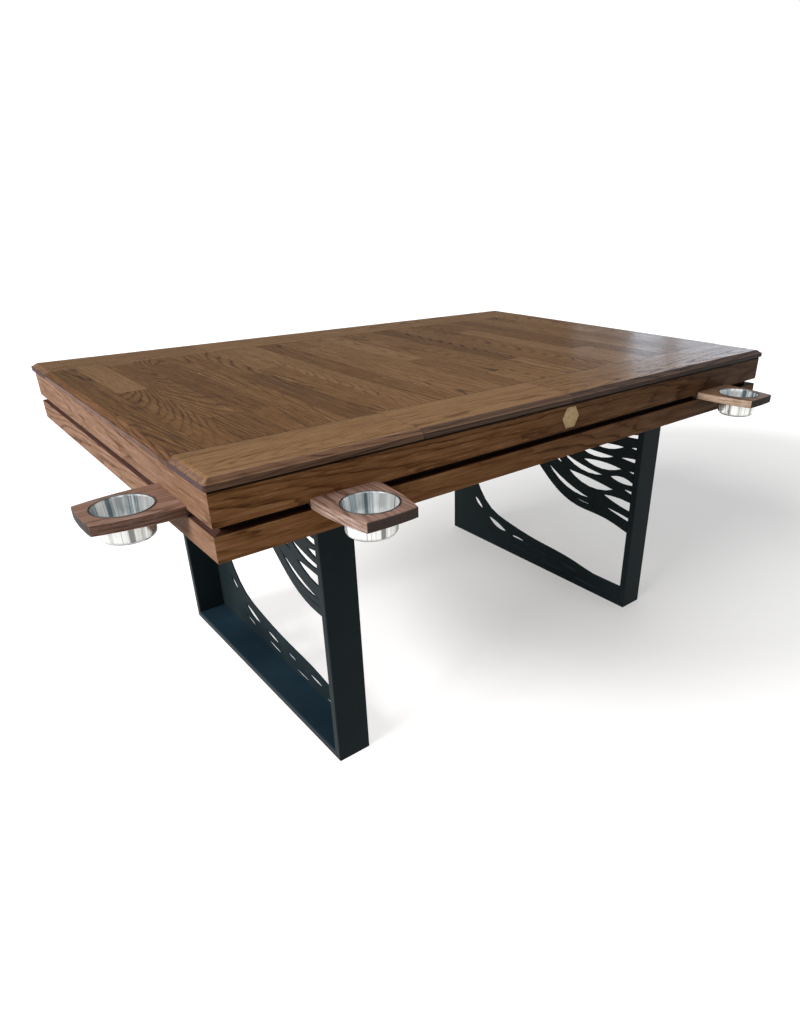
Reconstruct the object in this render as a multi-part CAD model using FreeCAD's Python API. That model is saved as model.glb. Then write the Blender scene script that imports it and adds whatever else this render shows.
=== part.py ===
# Board game table: a playing well under four lift-off cover leaves, carried by
# two steel frame legs, with sliding cup holders in a slot that runs all round it.
import FreeCAD, Part
import os
from math import cos, radians, sin, sqrt

Vector = FreeCAD.Vector

# Cover: leaves side by side along the table, each with a board across both ends
cover_length = 1600.0
cover_width = 1090.0
cover_overhang = 5.0
leaf_count = 4
leaf_thickness = 18.0
leaf_gap = 0.6
leaf_edge_height = 10.5
quirk_step = 1.2
bevel_run = 11.0
end_board_width = 143.0
joint_tongue_thickness = 6.0
joint_tongue_length = 16.0
joint_tongue_stop = 25.0
joint_groove_relief = 1.0
batten_width = 40.0
batten_thickness = 16.0
batten_lead_in = 5.0
batten_clearance = 1.5
spacer_thickness = 2.5
spacer_width = 14.0
spacer_setback = 4.0

# Body: an inner apron ring clad with an upper and a lower rail ring
lower_rail_height = 45.0
slot_height = 13.0
upper_rail_height = 59.0
slot_depth = 20.0
apron_thickness = 22.0
rail_arris = 1.0
bearer_thickness = 22.0
bearer_width = 100.0
well_floor_thickness = 15.0
well_floor_clearance = 0.5
mat_thickness = 2.5
mat_clearance = 1.5

# Legs: closed frames of rectangular tube, mitred at the corners
leg_height = 638.0
leg_setback = 239.0
leg_side_setback = 129.5
tube_width = 80.0
tube_depth = 20.0
tube_wall = 2.5
tube_corner_radius = 3.0
fret_thickness = 4.0
fret_chord_count = 28
slot_chord_count = 6

# Cup holders: a wooden plate with bowed sides whose tongue sits in the slot
holder_reach = 142.0
holder_root_width = 131.0
holder_nose_width = 97.0
holder_side_bow = 5.0
holder_nose_bow = 2.5
holder_nose_radius = 2.0
holder_thickness = 19.0
holder_arris = 1.2
holder_lift = 1.5
holder_face_gap = 0.5
tongue_width = 118.0
tongue_top_gap = 0.6
tongue_end_gap = 0.5
front_holder_setback = 229.0
side_holder_setback = 165.0

# Cups: pressed steel, dropped into the holder plates
cup_centre_reach = 76.0
cup_rim_radius = 50.0
cup_rim_height = 1.4
cup_rim_rounding = 0.6
cup_mouth_radius = 47.0
cup_floor_radius = 42.6
cup_depth = 52.0
cup_wall = 1.0
cup_corner_radius = 8.0
cup_clearance = 0.4
cup_flat_count = 44

# Emblem: a plain six-sided plate let into the front rail
emblem_corner_width = 53.0
emblem_thickness = 3.0
emblem_let_in = 1.2
emblem_arris = 0.8
emblem_border = 4.0
emblem_field_depth = 0.6
emblem_clearance = 0.2

# Working allowances
overrun = 5.0
match_distance = 0.01

# Levels above the floor
lower_rail_top = leg_height + lower_rail_height
slot_top = lower_rail_top + slot_height
body_top = slot_top + upper_rail_height
leaf_bottom = body_top + spacer_thickness
leaf_top = leaf_bottom + leaf_thickness
bearer_top = leg_height + bearer_thickness
well_floor_top = bearer_top + well_floor_thickness

# Plan sizes that follow from the cover
body_length = cover_length - 2 * cover_overhang
body_width = cover_width - 2 * cover_overhang
wall_thickness = slot_depth + apron_thickness
apron_length = body_length - 2 * slot_depth
apron_width = body_width - 2 * slot_depth
well_length = body_length - 2 * wall_thickness
well_width = body_width - 2 * wall_thickness
leaf_pitch = cover_length / leaf_count
field_half_width = cover_width / 2 - end_board_width
leg_spread = body_length - 2 * leg_setback
leg_depth = body_width - 2 * leg_side_setback
leg_centre = (leg_spread - tube_width) / 2
leg_inner_face = leg_centre - tube_width / 2
front_holder_offset = body_length / 2 - front_holder_setback
side_holder_offset = body_width / 2 - side_holder_setback

# The origin lies on the floor under the middle of the whole outline, and the
# holders stand out at the front only, so the table is moved back from it.
origin_shift = (holder_reach - cover_overhang) / 2

# Curves of the cut panels, as shares of the frame's opening: first the distance
# from the front post, then the height above the bottom bar.
upper_edge_shares = ((-0.12, 0.355), (0.0, 0.392), (0.11, 0.425), (0.25, 0.436),
                     (0.34, 0.472), (0.46, 0.580), (0.61, 0.760), (0.72, 1.02))
upper_guide_shares = ((-0.12, 1.22), (0.05, 1.10), (0.22, 0.97), (0.38, 0.88))
lower_edge_shares = ((-0.12, 0.078), (0.0, 0.080), (0.15, 0.084), (0.25, 0.106), (0.48, 0.130),
                     (0.65, 0.162), (0.76, 0.205), (0.85, 0.325), (0.93, 0.560), (1.02, 0.86))
lower_guide_shares = ((-0.12, -0.03), (0.40, -0.02), (0.75, 0.0), (0.90, 0.03), (0.98, 0.12),
                      (1.03, 0.35))

# Rows of leaf-shaped slots in the cut panels: share of the way from the free edge to
# the guide, then where each slot starts and ends along the row and how wide it is as a
# share of its length. A slot that starts at nothing is open towards the front post.
upper_row_shares = (
    (0.055, ((0.29, 0.40, 0.035),)),
    (0.085, ((0.00, 0.24, 0.06),)),
    (0.105, ((0.32, 0.58, 0.08), (0.62, 0.82, 0.07))),
    (0.170, ((0.00, 0.265, 0.14), (0.60, 0.78, 0.08))),
    (0.230, ((0.225, 0.48, 0.16), (0.52, 0.70, 0.12), (0.74, 0.91, 0.08))),
    (0.265, ((0.00, 0.18, 0.10),)),
    (0.320, ((0.125, 0.26, 0.22), (0.30, 0.56, 0.10), (0.60, 0.80, 0.11))),
    (0.395, ((0.00, 0.18, 0.09), (0.215, 0.44, 0.16), (0.49, 0.70, 0.11), (0.74, 0.89, 0.09))),
    (0.475, ((0.02, 0.24, 0.09), (0.28, 0.52, 0.12), (0.57, 0.78, 0.12))),
    (0.555, ((0.00, 0.20, 0.09), (0.24, 0.44, 0.14), (0.48, 0.70, 0.09))),
    (0.635, ((0.05, 0.26, 0.10), (0.30, 0.52, 0.13), (0.57, 0.76, 0.10))),
    (0.715, ((0.20, 0.40, 0.12), (0.45, 0.64, 0.10))),
)
lower_row_shares = (
    (0.42, ((0.24, 0.32, 0.13), (0.36, 0.43, 0.12), (0.455, 0.53, 0.17), (0.555, 0.65, 0.20),
            (0.685, 0.745, 0.26), (0.785, 0.85, 0.16))),
    (0.74, ((0.16, 0.27, 0.08), (0.30, 0.42, 0.07), (0.45, 0.56, 0.09), (0.60, 0.68, 0.14))),
)

SIDES = ("front", "right", "back", "left")


def moved(shape, offset):
    """A copy of the shape, moved by the offset."""
    copy = shape.copy()
    copy.translate(offset)
    return copy


def slab(low, high):
    """A box between two opposite corners."""
    size = high - low
    return Part.makeBox(size.x, size.y, size.z, low)


def prism(outline, direction):
    """A solid pushed out of a closed flat outline."""
    face = Part.Face(Part.makePolygon(outline + outline[:1]))
    return face.extrude(direction)


def plan_corners(length, width, level=0):
    """Corners of a centred rectangle, from the front left one and round to the right."""
    x = length / 2
    y = width / 2
    return [Vector(-x, -y, level), Vector(x, -y, level), Vector(x, y, level), Vector(-x, y, level)]


def chamfered_between(shape, size, first, second):
    """Chamfers the level edges whose middle lies above the middle of two plan corners."""
    middle = (first + second) / 2
    edges = []
    for edge in shape.Edges:
        centre = edge.CenterOfMass
        if abs(centre.x - middle.x) < match_distance and abs(centre.y - middle.y) < match_distance:
            edges.append(edge)
    return shape.makeChamfer(size, edges)


def mitred_board(side, length, width, thickness, bottom, height, arris=0):
    """One side of a mitred ring of boards, with its two long outer edges eased."""
    outer = plan_corners(length, width, bottom)
    inner = plan_corners(length - 2 * thickness, width - 2 * thickness, bottom)
    first = SIDES.index(side)
    second = (first + 1) % len(SIDES)
    board = prism([outer[first], outer[second], inner[second], inner[first]], Vector(0, 0, height))
    if arris:
        board = chamfered_between(board, arris, outer[first], outer[second])
    return board


def cover_blank():
    """The whole cover as one slab: an upright edge, a small quirk and a bevel to the top."""
    band = slab(Vector(-cover_length / 2, -cover_width / 2, leaf_bottom),
                Vector(cover_length / 2, cover_width / 2, leaf_bottom + leaf_edge_height))
    foot = plan_corners(cover_length - 2 * quirk_step, cover_width - 2 * quirk_step,
                        leaf_bottom + leaf_edge_height)
    crown = plan_corners(cover_length - 2 * bevel_run, cover_width - 2 * bevel_run, leaf_top)
    wires = [Part.makePolygon(foot + foot[:1]), Part.makePolygon(crown + crown[:1])]
    return band.fuse(Part.makeLoft(wires, True, True)).removeSplitter()


def leaf_span(index):
    """Where a leaf starts and ends along the table; the outer edges run past the blank."""
    start = -cover_length / 2 + index * leaf_pitch
    end = start + leaf_pitch
    first = start - overrun if index == 0 else start + leaf_gap / 2
    last = end + overrun if index == leaf_count - 1 else end - leaf_gap / 2
    return first, last


def joint_tongue(index, sign, relief=0):
    """The stopped tongue that enters the end board on one side of the field."""
    start = -cover_length / 2 + index * leaf_pitch + joint_tongue_stop
    end = start + leaf_pitch - 2 * joint_tongue_stop
    near = sign * field_half_width
    far = sign * (field_half_width + joint_tongue_length + relief)
    low = leaf_bottom + (leaf_thickness - joint_tongue_thickness) / 2
    return slab(Vector(start, min(near, far), low),
                Vector(end, max(near, far), low + joint_tongue_thickness))


def leaf_field(blank, index):
    """The laminated field of a leaf, with a tongue at both ends."""
    first, last = leaf_span(index)
    field = blank.common(slab(Vector(first, -field_half_width, leaf_bottom - overrun),
                              Vector(last, field_half_width, leaf_top + overrun)))
    return field.fuse([joint_tongue(index, -1), joint_tongue(index, 1)])


def leaf_end_board(blank, index, sign):
    """The board across one end of a leaf, grooved for the field's tongue."""
    first, last = leaf_span(index)
    near = sign * field_half_width
    far = sign * (cover_width / 2 + overrun)
    board = blank.common(slab(Vector(first, min(near, far), leaf_bottom - overrun),
                              Vector(last, max(near, far), leaf_top + overrun)))
    return board.cut(joint_tongue(index, sign, joint_groove_relief))


def leaf_battens(index):
    """Two battens under a leaf that drop just inside the aprons, with tapered ends."""
    length = well_width - 2 * batten_clearance
    shoulder = leaf_bottom - batten_thickness + batten_lead_in
    foot = leaf_bottom - batten_thickness
    outline = [Vector(0, -length / 2, leaf_bottom), Vector(0, length / 2, leaf_bottom),
               Vector(0, length / 2, shoulder), Vector(0, length / 2 - batten_lead_in, foot),
               Vector(0, -length / 2 + batten_lead_in, foot), Vector(0, -length / 2, shoulder)]
    bar = prism(outline, Vector(batten_width, 0, 0))
    middle = -cover_length / 2 + (index + 0.5) * leaf_pitch
    spread = leaf_pitch / 2 - cover_overhang - wall_thickness - batten_clearance - batten_width / 2
    places = (middle - spread - batten_width / 2, middle + spread - batten_width / 2)
    return Part.makeCompound([moved(bar, Vector(place, 0, 0)) for place in places])


def emblem_prism(corner_width, depth):
    """A six-sided prism with flats above and below, pushed back from the front face."""
    radius = corner_width / 2
    middle = (slot_top + body_top) / 2
    outline = []
    for corner in range(6):
        turn = radians(60 * corner)
        outline.append(Vector(radius * cos(turn), -body_width / 2, middle + radius * sin(turn)))
    return prism(outline, Vector(0, depth, 0))


def upper_rail(side):
    """A board of the upper rail ring; the front one is let in for the emblem."""
    board = mitred_board(side, body_length, body_width, slot_depth, slot_top,
                         upper_rail_height, rail_arris)
    if side == "front":
        board = board.cut(emblem_prism(emblem_corner_width + 2 * emblem_clearance, emblem_let_in))
    return board


def emblem():
    """A plain plate with an eased edge and a shallow field inside a border."""
    body = emblem_prism(emblem_corner_width, emblem_thickness)
    front = [edge for edge in body.Edges if abs(edge.CenterOfMass.y + body_width / 2) < match_distance
             and edge.Length < emblem_corner_width]
    body = body.makeChamfer(emblem_arris, front)
    body = body.cut(emblem_prism(emblem_corner_width - 2 * emblem_border, emblem_field_depth))
    return moved(body, Vector(0, emblem_let_in - emblem_thickness, 0))


def bearer(centre):
    """A cross board that joins the long aprons; a leg is screwed up into each outer one."""
    return slab(Vector(centre - bearer_width / 2, -well_width / 2, leg_height),
                Vector(centre + bearer_width / 2, well_width / 2, bearer_top))


def leg_outline(inset):
    """Corners of the leg frame in its own plane, from the front at the floor."""
    y = leg_depth / 2 - inset
    x = leg_inner_face
    return [Vector(x, -y, inset), Vector(x, y, inset), Vector(x, y, leg_height - inset),
            Vector(x, -y, leg_height - inset)]


def tube(length):
    """A standing rectangular tube with rounded corners, wide across the leg's plane."""
    bar = Part.makeBox(tube_width, tube_depth, length)
    upright = [edge for edge in bar.Edges if abs(edge.Length - length) < match_distance]
    bar = bar.makeFillet(tube_corner_radius, upright)
    bore = Part.makeBox(tube_width - 2 * tube_wall, tube_depth - 2 * tube_wall, length + 2 * overrun,
                        Vector(tube_wall, tube_wall, -overrun))
    return bar.cut(bore)


def leg_bar(name):
    """One of the four tubes of the right-hand leg, cut to its mitres."""
    first = ("bottom_bar", "back_post", "top_bar", "front_post").index(name)
    second = (first + 1) % 4
    outer = leg_outline(0)
    inner = leg_outline(tube_depth)
    blank = prism([outer[first], outer[second], inner[second], inner[first]], Vector(tube_width, 0, 0))
    if name in ("front_post", "back_post"):
        bar = tube(leg_height)
        start = -leg_depth / 2 if name == "front_post" else leg_depth / 2 - tube_depth
        bar.translate(Vector(leg_inner_face, start, 0))
    else:
        bar = tube(leg_depth)
        bar.rotate(Vector(0, 0, 0), Vector(1, 0, 0), -90)
        start = tube_depth if name == "bottom_bar" else leg_height
        bar.translate(Vector(leg_inner_face, -leg_depth / 2, start))
    return bar.common(blank)


def opening_point(along_share, up_share):
    """A point in the leg's inner plane, by shares of the frame's opening."""
    across = leg_depth - 2 * tube_depth
    rise = leg_height - 2 * tube_depth
    return Vector(leg_inner_face, -across / 2 + along_share * across, tube_depth + up_share * rise)


def smooth_curve(shares):
    """A smooth curve through points given as shares of the frame's opening."""
    curve = Part.BSplineCurve()
    curve.interpolate([opening_point(*share) for share in shares])
    return curve


def flow_point(edge, guide, along_share, row_share):
    """A point between a panel's free edge and its guide, at the same share of both."""
    spots = []
    for curve in (edge, guide):
        first = curve.FirstParameter
        spots.append(curve.value(first + along_share * (curve.LastParameter - first)))
    return spots[0] + (spots[1] - spots[0]) * row_share


def chords(curve, count):
    """Points along a curve, without the last one, for sides made of short chords."""
    return curve.discretize(count + 1)[:-1]


def leaf_slot(edge, guide, row_share, width_share, start_share, end_share):
    """A leaf-shaped cut between two arcs that meet in points and follow the flow."""
    first = flow_point(edge, guide, start_share, row_share)
    last = flow_point(edge, guide, end_share, row_share)
    middle = flow_point(edge, guide, (start_share + end_share) / 2, row_share)
    chord = last - first
    swell = Vector(0, -chord.z, chord.y) * (width_share / 2)
    sides = [Part.Arc(first, middle - swell, last), Part.Arc(last, middle + swell, first)]
    outline = chords(sides[0], slot_chord_count) + chords(sides[1], slot_chord_count)
    return moved(prism(outline, Vector(fret_thickness + 2 * overrun, 0, 0)), Vector(-overrun, 0, 0))


def fret(edge_shares, guide_shares, row_shares, closing_shares):
    """A cut steel panel that fills the frame's opening on one side of its free edge."""
    edge = smooth_curve(edge_shares)
    guide = smooth_curve(guide_shares)
    closing = [opening_point(*share) for share in closing_shares]
    outline = chords(edge, fret_chord_count) + [edge.EndPoint] + closing
    panel = prism(outline, Vector(fret_thickness, 0, 0))
    low = opening_point(0, 0)
    high = opening_point(1, 1) + Vector(fret_thickness, 0, 0)
    panel = panel.common(slab(low, high))
    slots = []
    for row_share, slot_shares in row_shares:
        for start_share, end_share, width_share in slot_shares:
            slots.append(leaf_slot(edge, guide, row_share, width_share, start_share, end_share))
    return panel.cut(slots)


def holder():
    """A cup holder at the middle of the front: bowed plate, tongue and cup hole."""
    root = holder_root_width / 2
    nose = holder_nose_width / 2
    reach = -holder_reach
    low = lower_rail_top + holder_lift
    side_middle = (root + nose) / 2 + holder_side_bow
    corners = [Vector(root, -holder_face_gap, low), Vector(nose, reach + holder_nose_bow, low),
               Vector(-nose, reach + holder_nose_bow, low), Vector(-root, -holder_face_gap, low)]
    outline = Part.Wire([
        Part.Arc(corners[0], Vector(side_middle, reach / 2, low), corners[1]).toShape(),
        Part.Arc(corners[1], Vector(0, reach, low), corners[2]).toShape(),
        Part.Arc(corners[2], Vector(-side_middle, reach / 2, low), corners[3]).toShape(),
        Part.makeLine(corners[3], corners[0])])
    plate = Part.Face(outline).extrude(Vector(0, 0, holder_thickness))
    nose_edges = [edge for edge in plate.Edges if len(edge.Vertexes) == 2
                  and abs(edge.Length - holder_thickness) < match_distance
                  and edge.CenterOfMass.y < reach / 2]
    plate = plate.makeFillet(holder_nose_radius, nose_edges)
    rims = [edge for edge in plate.Edges
            if edge.BoundBox.ZLength < match_distance
            and edge.CenterOfMass.y < -holder_face_gap - match_distance]
    plate = plate.makeChamfer(holder_arris, rims)
    tongue = slab(Vector(-tongue_width / 2, -holder_face_gap, lower_rail_top),
                  Vector(tongue_width / 2, slot_depth - tongue_end_gap, slot_top - tongue_top_gap))
    hole = Part.makeCylinder(cup_mouth_radius + cup_wall + cup_clearance,
                             holder_thickness + 2 * overrun,
                             Vector(0, -cup_centre_reach, low - overrun))
    return plate.fuse(tongue).removeSplitter().cut(hole)


def turned(profile, flat_count):
    """A turned solid with few faces: the closed profile of radius and height, in flats."""
    faces = []
    for (first_radius, first_height), (radius, height) in zip(profile, profile[1:] + profile[:1]):
        steps = [radians(360 * step / flat_count) for step in range(flat_count + 1)]
        first = [Vector(first_radius * cos(turn), first_radius * sin(turn), first_height)
                 for turn in steps]
        last = [Vector(radius * cos(turn), radius * sin(turn), height) for turn in steps]
        if not first_radius and radius:
            faces.append(Part.Face(Part.makePolygon(last)))
        elif first_radius and not radius:
            faces.append(Part.Face(Part.makePolygon(first)))
        elif first_radius:
            for step in range(flat_count):
                corners = [first[step], first[step + 1], last[step + 1], last[step]]
                faces.append(Part.Face(Part.makePolygon(corners + corners[:1])))
    return Part.makeSolid(Part.makeShell(faces))


def cup():
    """A pressed cup for the same place: rolled rim, tapered wall and rounded foot."""
    middle = cup_corner_radius * sqrt(0.5)
    outer_middle = (cup_corner_radius + cup_wall) * sqrt(0.5)
    bend_radius = cup_floor_radius - cup_corner_radius
    bend_height = -cup_depth + cup_corner_radius
    profile = [(cup_mouth_radius, cup_rim_height),
               (cup_floor_radius, bend_height),
               (bend_radius + middle, bend_height - middle),
               (bend_radius, -cup_depth),
               (0, -cup_depth),
               (0, -cup_depth - cup_wall),
               (bend_radius, -cup_depth - cup_wall),
               (bend_radius + outer_middle, bend_height - outer_middle),
               (cup_floor_radius + cup_wall, bend_height),
               (cup_mouth_radius + cup_wall, 0),
               (cup_rim_radius, 0),
               (cup_rim_radius, cup_rim_height - cup_rim_rounding),
               (cup_rim_radius - cup_rim_rounding, cup_rim_height)]
    seat = lower_rail_top + holder_lift + holder_thickness
    return moved(turned(profile, cup_flat_count), Vector(0, -cup_centre_reach, seat))


def placed_holder(shape, letter):
    """A holder or cup turned to its side of the table and moved along the slot."""
    turns = {"a": -90, "b": 0, "c": 0, "d": 90}
    places = {"a": Vector(-body_length / 2, -side_holder_offset, 0),
              "b": Vector(-front_holder_offset, -body_width / 2, 0),
              "c": Vector(front_holder_offset, -body_width / 2, 0),
              "d": Vector(body_length / 2, -side_holder_offset, 0)}
    turned = shape.copy()
    turned.rotate(Vector(0, 0, 0), Vector(0, 0, 1), turns[letter])
    return moved(turned, places[letter])


def body_pieces():
    """Aprons, rails, spacers, bearers, floor, mat and emblem."""
    pieces = {}
    for side in SIDES:
        pieces["apron_" + side] = mitred_board(side, apron_length, apron_width, apron_thickness,
                                               leg_height, body_top - leg_height)
        pieces["upper_rail_" + side] = upper_rail(side)
        pieces["lower_rail_" + side] = mitred_board(side, body_length, body_width, slot_depth,
                                                    leg_height, lower_rail_height, rail_arris)
    strips = [mitred_board(side, body_length - 2 * spacer_setback, body_width - 2 * spacer_setback,
                           spacer_width, body_top, spacer_thickness) for side in SIDES]
    pieces["cover_spacers"] = Part.makeCompound(strips)
    pieces["bearer_left"] = bearer(-leg_centre)
    pieces["bearer_middle"] = bearer(0)
    pieces["bearer_right"] = bearer(leg_centre)
    floor_x = well_length / 2 - well_floor_clearance
    floor_y = well_width / 2 - well_floor_clearance
    pieces["well_floor"] = slab(Vector(-floor_x, -floor_y, bearer_top),
                                Vector(floor_x, floor_y, well_floor_top))
    mat_x = well_length / 2 - mat_clearance
    mat_y = well_width / 2 - mat_clearance
    pieces["play_mat"] = slab(Vector(-mat_x, -mat_y, well_floor_top),
                              Vector(mat_x, mat_y, well_floor_top + mat_thickness))
    pieces["emblem"] = emblem()
    return pieces


def cover_pieces():
    """Field, end boards and battens of each leaf."""
    blank = cover_blank()
    pieces = {}
    for index in range(leaf_count):
        name = "leaf_%d_" % (index + 1)
        pieces[name + "field"] = leaf_field(blank, index)
        pieces[name + "end_front"] = leaf_end_board(blank, index, -1)
        pieces[name + "end_back"] = leaf_end_board(blank, index, 1)
        pieces[name + "battens"] = leaf_battens(index)
    return pieces


def leg_pieces():
    """Both legs: the left one is the right one seen in a mirror."""
    right = {name: leg_bar(name) for name in ("bottom_bar", "back_post", "top_bar", "front_post")}
    right["fret_upper"] = fret(upper_edge_shares, upper_guide_shares, upper_row_shares,
                               ((-0.12, 1.02),))
    right["fret_lower"] = fret(lower_edge_shares, lower_guide_shares, lower_row_shares,
                               ((1.02, -0.02), (-0.12, -0.02)))
    pieces = {}
    for name, shape in right.items():
        pieces["leg_right_" + name] = shape
        pieces["leg_left_" + name] = shape.mirror(Vector(0, 0, 0), Vector(1, 0, 0))
    return pieces


def holder_pieces():
    """Four holders, each with its cup."""
    plate = holder()
    vessel = cup()
    pieces = {}
    for letter in "abcd":
        pieces["holder_" + letter] = placed_holder(plate, letter)
        pieces["cup_" + letter] = placed_holder(vessel, letter)
    return pieces


os.makedirs("parts", exist_ok=True)
for make_pieces in (body_pieces, cover_pieces, leg_pieces, holder_pieces):
    for node, shape in make_pieces().items():
        moved(shape, Vector(0, origin_shift, 0)).exportStep("parts/" + node + ".step")
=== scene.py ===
"""Looks of the board game table: oak, coated steel, polished cups and a cloth mat.

CAD nodes get their materials and eased edges. The cups, the play mat and the leg bolts are made
here. The camera, the lamps and the studio come last."""
import math
import random

import bpy
import bmesh
from mathutils import Matrix, Vector


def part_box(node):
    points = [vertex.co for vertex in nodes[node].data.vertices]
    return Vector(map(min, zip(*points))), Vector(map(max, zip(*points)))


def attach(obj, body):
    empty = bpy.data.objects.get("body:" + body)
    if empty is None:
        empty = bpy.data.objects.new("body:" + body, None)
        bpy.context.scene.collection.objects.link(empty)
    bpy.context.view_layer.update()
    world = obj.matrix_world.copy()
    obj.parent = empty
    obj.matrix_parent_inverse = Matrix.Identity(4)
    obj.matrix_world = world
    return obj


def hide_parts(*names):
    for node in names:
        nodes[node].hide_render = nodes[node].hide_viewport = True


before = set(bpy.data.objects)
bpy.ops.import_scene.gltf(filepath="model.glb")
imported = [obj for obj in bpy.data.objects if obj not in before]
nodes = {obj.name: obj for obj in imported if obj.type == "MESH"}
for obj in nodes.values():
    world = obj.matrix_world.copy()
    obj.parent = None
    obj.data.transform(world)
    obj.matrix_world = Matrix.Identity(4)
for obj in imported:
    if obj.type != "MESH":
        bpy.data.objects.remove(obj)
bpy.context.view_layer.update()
scene = bpy.context.scene

mm = 0.001
SIDES = ("front", "right", "back", "left")
LEGS = ("left", "right")
LETTERS = "abcd"
LEAVES = (1, 2, 3, 4)
WHITE = (1.0, 1.0, 1.0)
# Deals every random number, so the order of the calls below sets the grain of each board
dealer = random.Random(411)


# Node trees

class Sheet:
    """A node tree that is built with short calls."""

    def __init__(self, tree):
        self.tree = tree

    def put(self, socket, value):
        """Links or sets one input."""
        if isinstance(value, bpy.types.NodeSocket):
            self.tree.links.new(value, socket)
        else:
            socket.default_value = value

    def node(self, kind, inputs=None, **settings):
        node = self.tree.nodes.new("ShaderNode" + kind)
        for name, value in settings.items():
            setattr(node, name, value)
        for name, value in (inputs or {}).items():
            self.put(node.inputs[name], value)
        return node

    def math(self, operation, *values):
        node = self.node("Math", operation=operation)
        for socket, value in zip(node.inputs, values):
            self.put(socket, value)
        return node.outputs[0]

    def add(self, *values):
        total = values[0]
        for value in values[1:]:
            total = self.math("ADD", total, value)
        return total

    def sub(self, a, b):
        return self.math("SUBTRACT", a, b)

    def mul(self, *values):
        total = values[0]
        for value in values[1:]:
            total = self.math("MULTIPLY", total, value)
        return total

    def size(self, value):
        """The value without its sign."""
        return self.math("ABSOLUTE", value)

    def length(self, x, y):
        """The length of a flat vector."""
        return self.math("SQRT", self.add(self.mul(x, x), self.mul(y, y)))

    def spread(self, value, low, high):
        """A value from 0 to 1 moved to low..high."""
        return self.math("MULTIPLY_ADD", value, high - low, low)

    def step(self, value, low, high, first=0.0, last=1.0):
        """A smooth step from first to last, while the value goes from low to high."""
        node = self.node("MapRange", interpolation_type="SMOOTHSTEP", clamp=True)
        for name, number in (("Value", value), ("From Min", low), ("From Max", high),
                             ("To Min", first), ("To Max", last)):
            self.put(node.inputs[name], number)
        return node.outputs[0]

    def split(self, vector):
        node = self.node("SeparateXYZ", {0: vector})
        return node.outputs[0], node.outputs[1], node.outputs[2]

    def join(self, x=0.0, y=0.0, z=0.0):
        return self.node("CombineXYZ", {0: x, 1: y, 2: z}).outputs[0]

    def place(self):
        """The point of the surface, in metres at rest."""
        return self.node("TexCoord").outputs["Object"]

    def normal(self):
        return self.node("TexCoord").outputs["Normal"]

    def noise(self, vector, scale=1.0, detail=2.0, rough=0.5, colour=False, twist=0.0):
        node = self.node("TexNoise", {"Vector": vector, "Scale": scale, "Detail": detail,
                                      "Roughness": rough, "Distortion": twist})
        return node.outputs["Color" if colour else "Fac"]

    def dice(self, vector):
        """Three random numbers for each whole-number cell."""
        node = self.node("TexWhiteNoise", {"Vector": vector}, noise_dimensions="3D")
        return self.split(node.outputs["Color"])

    def ramp(self, value, stops, interpolation="LINEAR"):
        """The colour of the stops, (place, colour), at the value."""
        node = self.node("ValToRGB", {0: value})
        band = node.color_ramp
        band.interpolation = interpolation
        while len(band.elements) < len(stops):
            band.elements.new(0.5)
        for element, (place, colour) in zip(band.elements, stops):
            element.position = place
            element.color = (*colour, 1.0)
        return node.outputs[0]

    def blend(self, kind, factor, first, second):
        node = self.node("Mix", data_type="RGBA", blend_type=kind)
        self.put(node.inputs[0], factor)
        self.put(node.inputs[6], first)
        self.put(node.inputs[7], second)
        return node.outputs[2]

    def dim(self, colour, factor):
        """The colour times a number."""
        grey = self.node("CombineColor", {0: factor, 1: factor, 2: factor}).outputs[0]
        return self.blend("MULTIPLY", 1.0, colour, grey)

    def bump(self, height, distance, strength=1.0):
        return self.node("Bump", {"Height": height, "Distance": distance,
                                  "Strength": strength}).outputs[0]


def new_material(name):
    """A material with its sheet and its shader."""
    material = bpy.data.materials.new(name)
    material.use_nodes = True
    shader = material.node_tree.nodes["Principled BSDF"]
    return material, Sheet(material.node_tree), shader


def line(sheet, value, place, half_width):
    """1 in a thin line where the value is near the place."""
    distance = sheet.size(sheet.sub(value, place))
    return sheet.step(distance, half_width * 0.5, half_width, 1.0, 0.0)


# Oak

# From dark pores to pale wood
OAK_COLOURS = ((0.0, (0.050, 0.0215, 0.0085)), (0.25, (0.090, 0.040, 0.0135)),
               (0.55, (0.178, 0.084, 0.027)), (0.80, (0.243, 0.124, 0.047)),
               (1.0, (0.320, 0.178, 0.080)))
# Which of x, y and z run along, across and through a board
FLAT_X, FLAT_Y = (0, 1, 2), (1, 0, 2)
UPRIGHT_X, UPRIGHT_Y = (0, 2, 1), (1, 2, 0)
# Axis and sign of the normal of a face that looks each way
LOOKS = {"left": (0, -1), "right": (0, 1), "front": (1, -1), "up": (2, 1)}
# How far a face looks that way where its painted light and shade begins and where it is full. A
# bevel's is on the upright face beside it too.
BEVEL, UPRIGHT, SQUARE, LEVEL = (0.25, 0.50), (0.85, 0.95), (0.80, 0.92), (0.60, 0.90)


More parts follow.
